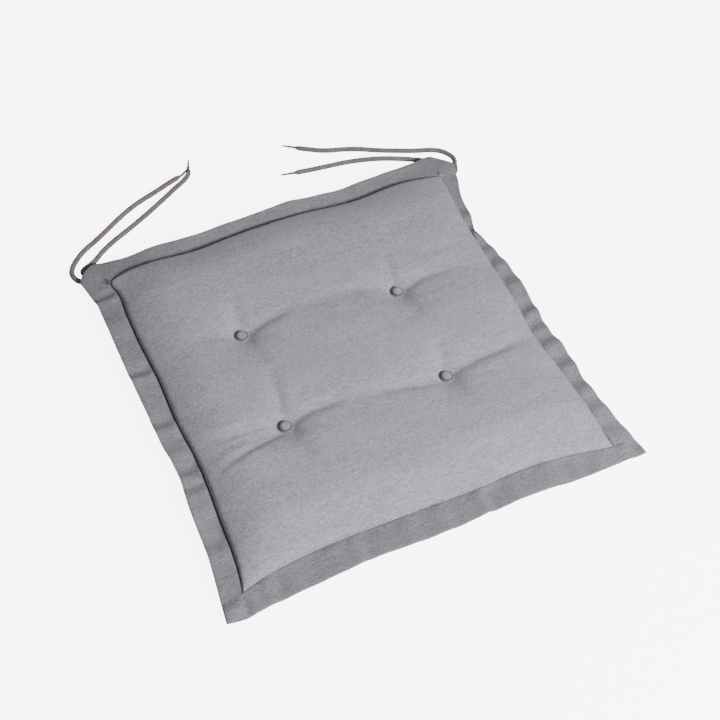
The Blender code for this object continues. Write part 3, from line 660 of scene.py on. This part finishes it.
def top_height(p, q):
    x, y = placed(p, q)
    full = fullness(p, q)
    base = middle_height(p, q, x, y) + edge_thickness(p, q) - seam_dip(p, q)
    rise = CROWN - SEAM_HEIGHT - LAYER

    def dimple(r):
        return DIMPLE_DEPTH * np.exp(-np.maximum(r, DIMPLE_FLOOR) / DIMPLE_REACH)

    drop = np.sqrt(near_tufts(x, y, dimple) ** 2 + valleys(x, y) ** 2)
    closeness = near_tufts(x, y, lambda r: np.exp(-r / PLEAT_CLEARING))
    clear = np.clip((closeness - 0.15) / 0.4, 0.0, 1.0)
    return base + rise * full - (drop + pleats(x, y) * (1.0 - clear)) * full


def bottom_height(p, q):
    x, y = placed(p, q)
    share_x = np.clip((SEAM_X - np.abs(p)) / UNDER_ROUNDING, 0.0, 1.0)
    share_y = np.clip((SEAM_Y - np.abs(q)) / UNDER_ROUNDING, 0.0, 1.0)
    full = (1.0 - (1.0 - share_x) ** UNDER_POWER) * (1.0 - (1.0 - share_y) ** UNDER_POWER)
    foot = middle_height(p, q, x, y) - edge_thickness(p, q) + seam_dip(p, q) * 0.6

    def dimple(r):
        share = np.clip((r - BUTTON_SEAT) / (UNDER_DIMPLE_REACH - BUTTON_SEAT), 0.0, 1.0)
        return UNDER_DIMPLE_DEPTH * (1.0 - share * share * (3.0 - 2.0 * share))

    return np.maximum(foot * (1.0 - full) + near_tufts(x, y, dimple) * full, 0.0)


def pattern_lines(seam, reach):
    """The grid's lines: even inside, closer at the wall and in the flange."""
    inner = seam - WALL_LINES[-1] - GRID_STEP * 0.7
    count = round(2 * inner / GRID_STEP)
    even = list(np.linspace(-inner, inner, count + 1))
    outward = [seam - line for line in reversed(WALL_LINES)] + [seam]
    outward += [seam + line for line in FLANGE_LINES] + [reach]
    return np.array([-line for line in reversed(outward)] + even + outward)


def slackened(p, q, x, y, z):
    """The top panel's cloth simulated over its filling, which puckers it at the tufts and the seam.

    Returns how far each grid point moves.
    """
    inside = (np.abs(p) <= SEAM_X + 1e-6) & (np.abs(q) <= SEAM_Y + 1e-6)
    rows, columns = np.where(inside.any(axis=1))[0], np.where(inside.any(axis=0))[0]
    part = np.ix_(rows, columns)
    height, width = len(rows), len(columns)
    points = np.stack([x[part], y[part], z[part]], axis=-1).reshape(-1, 3)
    corners = (0, 1, width + 1, width)
    faces = [
        tuple(row * width + column + corner for corner in corners)
        for row in range(height - 1) for column in range(width - 1)
    ]
    mesh = bpy.data.meshes.new("panel_cloth")
    mesh.from_pydata(points.tolist(), [], faces)
    cloth_object = bpy.data.objects.new("panel_cloth", mesh)
    bpy.context.scene.collection.objects.link(cloth_object)

    to_tuft = near_tufts(points[:, 0], points[:, 1], lambda r: np.exp(-r / 0.030))
    to_seam = np.minimum(SEAM_X - np.abs(p[part]), SEAM_Y - np.abs(q[part])).reshape(-1)
    at_tuft = near_tufts(points[:, 0], points[:, 1], lambda r: (r < BUTTON_SEAT).astype(float)) > 0.5
    held = np.where((to_seam < SEAM_HOLD) | at_tuft, 1.0, CLOTH_HOLD)
    slack = np.clip(to_tuft * 1.1 + 0.75 * np.exp(-((to_seam / 0.022) ** 2)) + 0.18, 0.0, 1.0)
    pins = cloth_object.vertex_groups.new(name="held")
    loose = cloth_object.vertex_groups.new(name="slack")
    for index in range(len(points)):
        pins.add([index], float(held[index]), "REPLACE")
        loose.add([index], float(slack[index]), "REPLACE")

    cloth = cloth_object.modifiers.new("cloth", "CLOTH")
    settings = cloth.settings
    settings.quality = 6
    settings.mass = 0.25
    settings.tension_stiffness = settings.compression_stiffness = 30.0
    settings.shear_stiffness = 8.0
    settings.bending_model = "ANGULAR"
    settings.bending_stiffness = CLOTH_BENDING
    settings.tension_damping = settings.compression_damping = settings.shear_damping = 8.0
    settings.air_damping = 3.0
    settings.vertex_group_mass = "held"
    settings.pin_stiffness = 1.0
    settings.vertex_group_shrink = "slack"
    settings.shrink_min = 0.0
    settings.shrink_max = -CLOTH_SLACK
    settings.effector_weights.gravity = 0.0
    settings.use_pressure = True
    settings.uniform_pressure_force = CLOTH_PRESSURE
    cloth.point_cache.frame_start = 1
    cloth.point_cache.frame_end = CLOTH_FRAMES
    for number in range(1, CLOTH_FRAMES + 1):
        bpy.context.scene.frame_set(number)
    graph = bpy.context.evaluated_depsgraph_get()
    result = cloth_object.evaluated_get(graph).to_mesh()
    moved = np.empty(len(points) * 3)
    result.vertices.foreach_get("co", moved)
    moved = moved.reshape(-1, 3) - points
    bpy.context.scene.frame_set(1)
    bpy.data.objects.remove(cloth_object, do_unlink=True)
    reach = np.linalg.norm(moved, axis=1, keepdims=True)
    moved *= np.minimum(1.0, CLOTH_CAP / np.maximum(reach, 1e-9))
    change = np.zeros((*p.shape, 3))
    change[part] = moved.reshape(height, width, 3)
    return change


def painted_crease_shade(p, q):
    """Where the cloth folded into the seam is painted dark as shade, on the left and back sides where
    the padded edge would shade it.
    """
    near_x, near_y = np.abs(p) - SEAM_X, np.abs(q) - SEAM_Y
    within = (near_x < CREASE_OUTSIDE) & (near_y < CREASE_OUTSIDE)
    left = (p < 0) & (near_x > -CREASE_INSIDE)
    back = (q > 0) & (near_y > -CREASE_INSIDE)
    return (left | back) & within


def make_cover():
    """Both panels as one closed form: the padded middle, the flange and its turned outer edge."""
    lines_x, lines_y = pattern_lines(SEAM_X, CORNER_X), pattern_lines(SEAM_Y, CORNER_Y)
    p, q = np.meshgrid(lines_x, lines_y)
    x, y = placed(p, q)
    top, bottom = top_height(p, q), bottom_height(p, q)
    change = np.zeros((*p.shape, 3))
    change = slackened(p, q, x, y, top)
    height, width = p.shape
    upper = np.stack([x, y, top], axis=-1) + change
    lower = np.stack([x, y, bottom], axis=-1)
    shape = bmesh.new()
    grid_top = [
        [shape.verts.new(upper[row, column]) for column in range(width)] for row in range(height)
    ]

    def low_corner(row, column):
        """A point of the bottom panel, which shares its outer edge with the top one."""
        if row in (0, height - 1) or column in (0, width - 1):
            return grid_top[row][column]
        return shape.verts.new(lower[row, column])

    grid_low = [[low_corner(row, column) for column in range(width)] for row in range(height)]
    in_flange = flange_out(p, q) > 1e-4
    in_painted_shade = painted_crease_shade(p, q)
    for row in range(height - 1):
        for column in range(width - 1):
            ring = [(row, column), (row, column + 1), (row + 1, column + 1), (row + 1, column)]
            flat = any(in_flange[place] for place in ring)
            over = shape.faces.new([grid_top[a][b] for a, b in ring])
            under = shape.faces.new([grid_low[a][b] for a, b in reversed(ring)])
            # Flange faces take the darker flange cloth, which carries painted shade
            over.material_index = under.material_index = 1 if flat else 0
            # The seam's fold on the left and back is painted with shade
            if all(in_painted_shade[place] for place in ring):
                over.material_index = 2
            over.smooth = under.smooth = True
    mesh = bpy.data.meshes.new("pad_cover")
    shape.to_mesh(mesh)
    shape.free()
    cover = bpy.data.objects.new("pad_cover", mesh)
    bpy.context.scene.collection.objects.link(cover)
    mesh.materials.append(woven("padded_melange", PADDED_GREY))
    mesh.materials.append(woven("flange_melange_with_shade", FLANGE_GREY_WITH_SHADE))
    mesh.materials.append(yarn("painted_seam_shade", PAINTED_CREASE_SHADE_GREY))
    smooth = cover.modifiers.new("smooth", "SUBSURF")
    smooth.levels = smooth.render_levels = 1
    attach(cover, "pad")
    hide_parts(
        "cover_top_panel", "cover_bottom_panel", "wadding_top", "wadding_bottom", "foam_core",
        "edge_seam_thread",
    )


# ---------------------------------------------------------------- stitching


def tube(shape, points, radius, sides, radii=None):
    """A closed tube of that radius along points, added to a bmesh."""
    points = [Vector(point) for point in points]
    rings = []
    normal = Vector((0.0, 0.0, 1.0))
    for index, point in enumerate(points):
        before, after = points[max(index - 1, 0)], points[min(index + 1, len(points) - 1)]
        along = (after - before).normalized()
        normal = (normal - along * normal.dot(along)).normalized()
        side = along.cross(normal)
        size = radii[index] if radii else radius
        rings.append([
            shape.verts.new(point + (normal * math.cos(turn) + side * math.sin(turn)) * size)
            for turn in (math.tau * step / sides for step in range(sides))
        ])
    for ring, following in zip(rings, rings[1:]):
        for index in range(sides):
            shape.faces.new((
                ring[index], ring[(index + 1) % sides], following[(index + 1) % sides], following[index],
            )).smooth = True
    shape.faces.new(rings[0][::-1])
    shape.faces.new(rings[-1])


def seam_path(offset):
    """Pattern points round the flange seam, anticlockwise from the front left corner."""
    far_x, far_y = SEAM_X + offset, SEAM_Y + offset
    corners = [(-far_x, -far_y), (far_x, -far_y), (far_x, far_y), (-far_x, far_y), (-far_x, -far_y)]
    path = []
    for (ax, ay), (bx, by) in zip(corners, corners[1:]):
        count = round(math.hypot(bx - ax, by - ay) / STITCH_PITCH)
        path += [(ax + (bx - ax) * step / count, ay + (by - ay) * step / count) for step in range(count)]
    return path + [path[0]]


def on_cover(p, q, height):
    """The point of the cover at one pattern place, on the surface that height gives."""
    p, q = np.array([p]), np.array([q])
    x, y = placed(p, q)
    return Vector((x[0], y[0], height(p, q)[0]))


def stitches(name, height, outward, replaced):
    """The row of stitches round the flange, arched outward from the cover."""
    shape = bmesh.new()
    path = seam_path(STITCH_OFFSET)
    share = STITCH_LENGTH / STITCH_PITCH
    for (ax, ay), (bx, by) in zip(path, path[1:]):
        points = []
        for step in range(5):
            t = 0.5 + share * (step / 4 - 0.5)
            point = on_cover(ax + (bx - ax) * t, ay + (by - ay) * t, height)
            arch = STITCH_RADIUS * 1.3 * math.sin(math.pi * step / 4) - STITCH_RADIUS * 0.5
            point.z += outward * arch
            points.append(point)
        tube(shape, points, STITCH_RADIUS, 5)
    bmesh.ops.recalc_face_normals(shape, faces=shape.faces)
    return finish_piece(name, shape, [thread_finish], "pad", [replaced])


def finish_piece(name, shape, finishes, body, replaced):
    """Turns a bmesh into a piece that rides on a body in place of its plain solids."""
    mesh = bpy.data.meshes.new(name)
    shape.to_mesh(mesh)
    shape.free()
    for layer in finishes:
        mesh.materials.append(layer)
    piece = bpy.data.objects.new(name, mesh)
    bpy.context.scene.collection.objects.link(piece)
    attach(piece, body)
    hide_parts(*replaced)
    return piece


# Loose strokes of thread where the stitching is locked at the back corners, in millimetres from the
# seam's corner, outwards and backwards.
CORNER_STROKES = {
    "left": [
        [(-1.5, -2.5), (1.0, 0.5), (3.5, 3.0)],
        [(4.5, -0.5), (2.2, 0.4), (0.5, 2.6)],
        [(2.0, -2.0), (3.2, 1.2), (5.6, 3.8), (8.0, 4.6)],
        [(0.5, -1.0), (1.8, 3.4), (4.8, 6.0)],
    ],
    "right": [
        [(-3.0, 0.8), (0.5, 1.2), (3.4, 3.0)],
        [(0.0, -3.0), (0.8, 1.0), (0.4, 5.6)],
        [(-1.4, 3.0), (1.0, 1.6), (3.6, -0.4)],
        [(2.6, 4.4), (3.4, 2.2), (2.2, 0.2)],
    ],
}


def corner_strokes(side, finish):
    """The loose threads of one back corner's lock."""
    shape = bmesh.new()
    for stroke in CORNER_STROKES[side]:
        points = []
        for index, (out, behind) in enumerate(stroke):
            point = on_cover(SIDE_SIGN[side] * (SEAM_X + out / MM), SEAM_Y + behind / MM, top_height)
            point.z += 0.0009 + 0.0005 * (index % 2)
            points.append(point)
        tube(shape, smooth_route(points, 0.0012), LOCK_RADIUS, 6)
    bmesh.ops.recalc_face_normals(shape, faces=shape.faces)
    finish_piece(f"corner_lock_{side}", shape, [finish], "pad", [f"corner_tack_{side}"])


# ---------------------------------------------------------------- buttons


def make_button(name):
    """The fabric cap of one covered button, with its gathered rim."""
    low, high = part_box(f"button_fabric_{name}")
    under = name.startswith("under")
    shape = bmesh.new()
    corners = [shape.verts.new((radius / MM, 0.0, height / MM)) for radius, height in BUTTON_PROFILE]
    edges = [shape.edges.new(pair) for pair in zip(corners, corners[1:])]
    bmesh.ops.spin(
        shape, geom=corners + edges, axis=(0.0, 0.0, 1.0), cent=(0.0, 0.0, 0.0), steps=48,
        angle=math.tau, use_merge=True,
    )
    bmesh.ops.remove_doubles(shape, verts=shape.verts, dist=0.00002)
    for vert in shape.verts:
        turn = math.atan2(vert.co.y, vert.co.x)
        size = math.hypot(vert.co.x, vert.co.y)
        if size > 0.0066 and vert.co.z < 0.0028:
            vert.co *= 1.0 + BUTTON_GATHER_SHARE * math.sin(BUTTON_GATHERS * turn)
    if under:
        for vert in shape.verts:
            vert.co = Vector((vert.co.x, -vert.co.y, -vert.co.z))
    foot = high[2] if under else low[2]
    centre = Vector(((low[0] + high[0]) / 2, (low[1] + high[1]) / 2))
    bmesh.ops.translate(shape, verts=shape.verts, vec=(*centre, foot))
    bmesh.ops.recalc_face_normals(shape, faces=shape.faces)
    for face in shape.faces:
        face.smooth = True
        middle = face.calc_center_median()
        out, height = (middle.xy - centre).length, abs(middle.z - foot)
        # The gathered rim's faces are painted with shade
        face.material_index = int(out > BUTTON_FACE and height > BUTTON_RIM_FOOT)
    finish_piece(
        f"covered_button_{name}", shape, [button_finish, rim_shade_finish], f"button_{name}",
        [f"button_fabric_{name}"],
    )


# ---------------------------------------------------------------- cords


def smooth_route(points, step):
    """A Catmull-Rom curve through the points, read about every step."""
    points = [Vector(point) for point in points]
    ends = [points[0] * 2 - points[1], *points, points[-1] * 2 - points[-2]]
    fine = []
    for before, first, second, after in zip(ends, ends[1:], ends[2:], ends[3:]):
        count = max(1, round((second - first).length / step))
        for index in range(count):
            t = index / count
            fine.append(
                0.5 * (
                    2 * first
                    + (second - before) * t
                    + (2 * before - 5 * first + 4 * second - after) * t * t
                    + (3 * first - before - 3 * second + after) * t ** 3
                )
            )
    return fine + [points[-1]]


def corner_point(side, point):
    """A point given from one back corner, in metres."""
    x, y, lift = point
    return Vector((
        SIDE_SIGN[side] * (CORNER_X + x / MM), CORNER_Y + y / MM, CORD_LIE + lift / MM,
    ))


def route_points(side, which):
    return [corner_point(side, point) for point in TIE_ROUTES[side][which]]


def evenly(points, step):
    """The polyline through points, read at even steps."""
    array = np.array(points)
    lengths = np.concatenate([[0.0], np.cumsum(np.linalg.norm(np.diff(array, axis=0), axis=1))])
    wanted = np.linspace(0.0, lengths[-1], max(2, round(lengths[-1] / step)) + 1)
    read = [np.interp(wanted, lengths, array[:, axis]) for axis in range(3)]
    return np.stack(read, axis=1), wanted


def braid_height(turn, run):
    """How far the braid lies under its crest, at a share of a turn and a length along the cord."""
    one = (turn - run / BRAID_PITCH) * BRAID_YARNS
    other = (turn + run / BRAID_PITCH) * BRAID_YARNS
    crossing = BRAID_CROSSING * np.cos(np.pi * one) * np.cos(np.pi * other)

    def yarns(place):
        return BRAID_RELIEF * np.sqrt(np.maximum(0.0, 1.0 - (2.0 * (place - np.round(place))) ** 2))

    upper = np.maximum(yarns(one) + crossing, yarns(other) - crossing)
    return upper - BRAID_RELIEF - BRAID_CROSSING


def make_cord(side, which):
    """One free half of a tie: a round braid that narrows to its fused tip."""
    centre, runs = evenly(smooth_route(route_points(side, which), 0.001), CORD_STEP)
    thinnest = TIP_RADIUS / CORD_RADIUS
    share = np.minimum(1.0, thinnest + (1.0 - thinnest) * (runs[-1] - runs) / CORD_TAPER)
    shape = bmesh.new()
    turns = np.arange(CORD_SIDES) / CORD_SIDES
    normal = Vector((0.0, 0.0, 1.0))
    rings = []
    for index, point in enumerate(centre):
        before, after = centre[max(index - 1, 0)], centre[min(index + 1, len(centre) - 1)]
        along = Vector(after - before).normalized()
        normal = (normal - along * normal.dot(along)).normalized()
        beside = along.cross(normal)
        crest = CORD_RADIUS + CORD_FULLNESS + BRAID_RELIEF * 0.6
        sizes = (crest + braid_height(turns, runs[index])) * share[index]
        point = Vector(point)
        ring = []
        for turn, size in zip(turns, sizes):
            outward = normal * math.cos(math.tau * turn) + beside * math.sin(math.tau * turn)
            place = point + outward * size
            place.z = max(place.z, 0.0001)  # flattened where it lies on the ground
            ring.append(shape.verts.new(place))
        rings.append(ring)
    for (ring, following), run in zip(zip(rings, rings[1:]), runs):
        height = braid_height(turns + 0.5 / CORD_SIDES, run)
        # Faces in the gaps between yarns get painted shade
        gaps = height < BRAID_GAP * (BRAID_RELIEF + BRAID_CROSSING)
        for index in range(CORD_SIDES):
            after = (index + 1) % CORD_SIDES
            face = shape.faces.new((ring[index], ring[after], following[after], following[index]))
            face.smooth = True
            face.material_index = int(gaps[index])
    shape.faces.new(rings[0][::-1])
    shape.faces.new(rings[-1])
    bmesh.ops.recalc_face_normals(shape, faces=shape.faces)
    body = f"tie_{side}"
    cord = finish_piece(
        f"braided_cord_{side}_{which}", shape, [cord_finish, gap_shade_finish], body,
        [f"tie_cord_{side}_{which}"],
    )

    tip_shape = bmesh.new()
    start, end = Vector(centre[-1]), corner_point(side, TIP_ENDS[side][which])
    tip_points = [start.lerp(end, step / 8) for step in range(9)]
    tip_radii = [TIP_RADIUS * (1.6 - 0.6 * step / 8) for step in range(9)]
    tube(tip_shape, tip_points, TIP_RADIUS, 12, tip_radii)
    bmesh.ops.recalc_face_normals(tip_shape, faces=tip_shape.faces)
    tip_name = f"fused_tip_{side}_{which}"
    finish_piece(tip_name, tip_shape, [tip_finish], body, [f"tie_tip_{side}_{which}"])


# ---------------------------------------------------------------- making the scene


def refinish(finish, *starts):
    """Gives the solids that stay in view their own finish."""
    for name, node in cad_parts.items():
        if name.startswith(starts):
            node.data.materials.clear()
            node.data.materials.append(finish)


add_camera()
cord_finish = yarn("taupe_braid", CORD_TAUPE, 0.8, 0.4, 1400.0)
tip_finish = fused_plastic("fused_tip")
gap_shade_finish = yarn("taupe_braid_shade", CORD_GAP_SHADE_TAUPE, 0.9, 0.3, 1400.0)
thread_finish = yarn("grey_thread", THREAD_GREY)
pale_thread_finish = yarn("pale_thread", PALE_THREAD)
button_finish = woven("button_melange", BUTTON_GREY)
rim_shade_finish = yarn("gathered_rim_shade", RIM_SHADE_GREY, spread=0.25)
for tie_side in TIE_ROUTES:
    for tie_end in TIE_ROUTES[tie_side]:
        make_cord(tie_side, tie_end)
add_stage()
make_cover()
stitches("flange_stitches_top", top_height, 1, "flange_stitching_top")
stitches("flange_stitches_under", bottom_height, -1, "flange_stitching_under")
corner_strokes("left", thread_finish)
corner_strokes("right", pale_thread_finish)
for tuft_name in TUFTS:
    make_button(f"top_{tuft_name}")
    make_button(f"under_{tuft_name}")
refinish(steel("pressed_steel"), "button_shell", "button_back")
refinish(yarn("waxed_twine", TWINE_CREAM), "tuft_twine")
refinish(thread_finish, "tie_tack")
